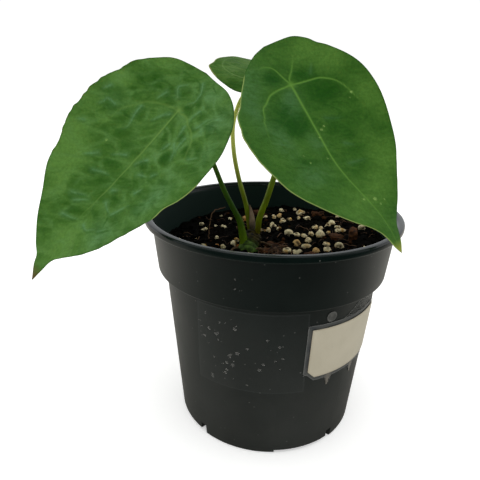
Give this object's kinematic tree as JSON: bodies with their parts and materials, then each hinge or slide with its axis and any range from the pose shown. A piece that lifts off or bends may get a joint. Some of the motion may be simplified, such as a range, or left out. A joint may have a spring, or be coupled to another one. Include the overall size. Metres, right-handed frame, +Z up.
{
  "type": "potted anthurium forgetii",
  "caption": "Young peltate-leaved anthurium in a round nursery pot: heart-like ovate leaves on thin petioles, short crown, grainy soil, blank plant label on the pot.",
  "frame": {"origin": "centre of the flat disc on the pot's underside, on the pot's axis", "axes": "+Z up along the pot's axis; the picture looks along +Y from -Y; +X to its right"},
  "size_m": [0.1721, 0.1636, 0.1955],
  "materials": {
    "pot_plastic": "black moulded nursery-pot plastic, satin, with water marks",
    "soil_mix": "dark bark and coir mix with white and tan perlite grains, matte",
    "crown_tissue": "olive and brown short stem with ring scars and pale roots",
    "petiole_dark": "dark green smooth leaf stalk",
    "petiole_olive": "olive green smooth leaf stalk",
    "sheath_papery": "dry papery tan sheath",
    "leaf_quilted": "mid green quilted blade with a soft satin sheen and fine pale veins",
    "leaf_smooth": "mid green smooth blade with a soft satin sheen, pale veins and a pale edge",
    "leaf_dark": "bluish dark green smooth blade with a pale edge",
    "label_paper": "blank cream paper",
    "label_film": "clear adhesive film with ragged lower edge",
    "sticker_grey": "worn grey round sticker"
  },
  "bodies": {
    "root": {"pot": "pot_plastic", "soil": "soil_mix", "crown": "crown_tissue", "petiole_left": "petiole_dark", "petiole_right": "petiole_olive", "petiole_back": "petiole_olive", "sheath": "sheath_papery", "leaf_left": "leaf_quilted", "leaf_right": "leaf_smooth", "leaf_back": "leaf_dark", "label_paper": "label_paper", "label_film": "label_film", "round_sticker": "sticker_grey"}
  },
  "joints": []
}
